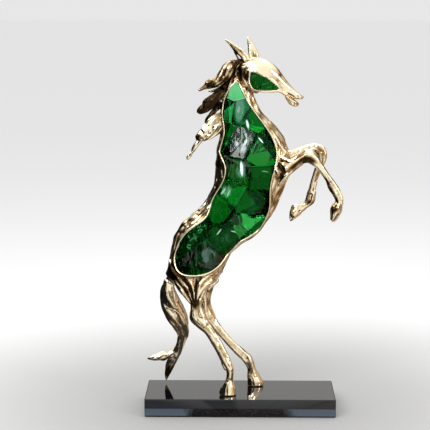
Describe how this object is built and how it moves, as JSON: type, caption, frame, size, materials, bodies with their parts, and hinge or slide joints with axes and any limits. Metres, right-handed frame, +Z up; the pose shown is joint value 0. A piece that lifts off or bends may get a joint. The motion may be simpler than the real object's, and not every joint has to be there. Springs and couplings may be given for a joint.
{
  "type": "horse statuette",
  "caption": "Rearing horse in polished cast bronze, its open trunk, neck and cheeks filled with lumps of green glass, standing on a black glass plinth.",
  "frame": {"origin": "middle of the felt's underside, on the surface the statuette stands on", "axes": "+X the way the horse faces, +Y the horse's left side, +Z up"},
  "size_m": [0.3107, 0.12, 0.5907],
  "materials": {
    "bronze": "polished cast bronze with a gold tone, darker in the folds",
    "green_glass": "clear bottle-green glass, broken faces",
    "black_glass": "polished opaque black glass",
    "felt": "black felt",
    "steel": "zinc-plated steel"
  },
  "bodies": {
    "root": {"back_channel": "bronze", "chest_channel": "bronze", "ear_left": "bronze", "ear_right": "bronze", "felt_underlay": "felt", "foreleg_left": "bronze", "foreleg_right": "bronze", "glass_cheek_front": "green_glass", "glass_cheek_rear": "green_glass", "glass_left_01": "green_glass", "glass_left_02": "green_glass", "glass_left_03": "green_glass", "glass_left_04": "green_glass", "glass_left_05": "green_glass", "glass_left_06": "green_glass", "glass_left_07": "green_glass", "glass_left_08": "green_glass", "glass_left_09": "green_glass", "glass_left_10": "green_glass", "glass_left_11": "green_glass", "glass_left_12": "green_glass", "glass_neck_01": "green_glass", "glass_neck_02": "green_glass", "glass_neck_03": "green_glass", "glass_neck_04": "green_glass", "glass_neck_05": "green_glass", "glass_right_01": "green_glass", "glass_right_02": "green_glass", "glass_right_03": "green_glass", "glass_right_04": "green_glass", "glass_right_05": "green_glass", "glass_right_06": "green_glass", "glass_right_07": "green_glass", "glass_right_08": "green_glass", "glass_right_09": "green_glass", "glass_right_10": "green_glass", "glass_right_11": "green_glass", "glass_right_12": "green_glass", "glass_right_13": "green_glass", "head_casting": "bronze", "hind_leg_left": "bronze", "hind_leg_right": "bronze", "hoof_studs": "steel", "jowl_bead_left": "bronze", "jowl_bead_right": "bronze", "lower_jaw": "bronze", "mane_lock_broad": "bronze", "mane_lock_crest": "bronze", "mane_lock_inner": "bronze", "mane_lock_lower": "bronze", "mane_lock_middle": "bronze", "mane_lock_upper": "bronze", "pelvis_casting": "bronze", "plinth_slab": "black_glass", "stud_nuts": "steel", "stud_washers": "steel", "tail_stem": "bronze", "tail_wisp": "bronze", "window_bead_left": "bronze", "window_bead_right": "bronze"}
  },
  "joints": []
}
